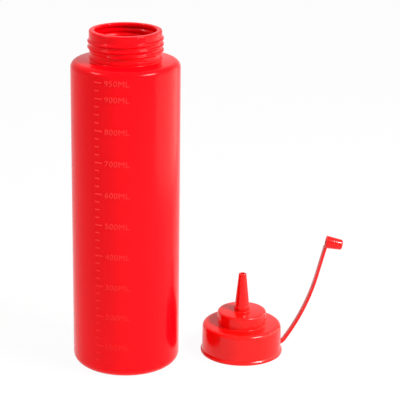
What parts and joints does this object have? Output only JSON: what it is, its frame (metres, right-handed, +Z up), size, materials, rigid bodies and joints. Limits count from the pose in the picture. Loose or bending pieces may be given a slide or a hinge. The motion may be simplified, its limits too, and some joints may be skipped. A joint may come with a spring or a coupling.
{
  "type": "squeeze bottle",
  "caption": "Tall red plastic squeeze bottle with a measuring scale, standing open, and its screw cap with tapered spout, strap and tip cap set down beside it.",
  "frame": {"origin": "on the ground under the middle of the set, the open bottle and the cap beside it", "axes": "+Z up along the bottle's axis, +X from the bottle towards the cap, +Y away from the side with the measuring scale"},
  "size_m": [0.2005, 0.077, 0.246],
  "materials": {
    "bottle_plastic": "satin soft polythene, slightly translucent",
    "cap_plastic": "smooth moulded polythene"
  },
  "bodies": {
    "root": {"bottle": "bottle_plastic", "closure": "cap_plastic"}
  },
  "joints": []
}
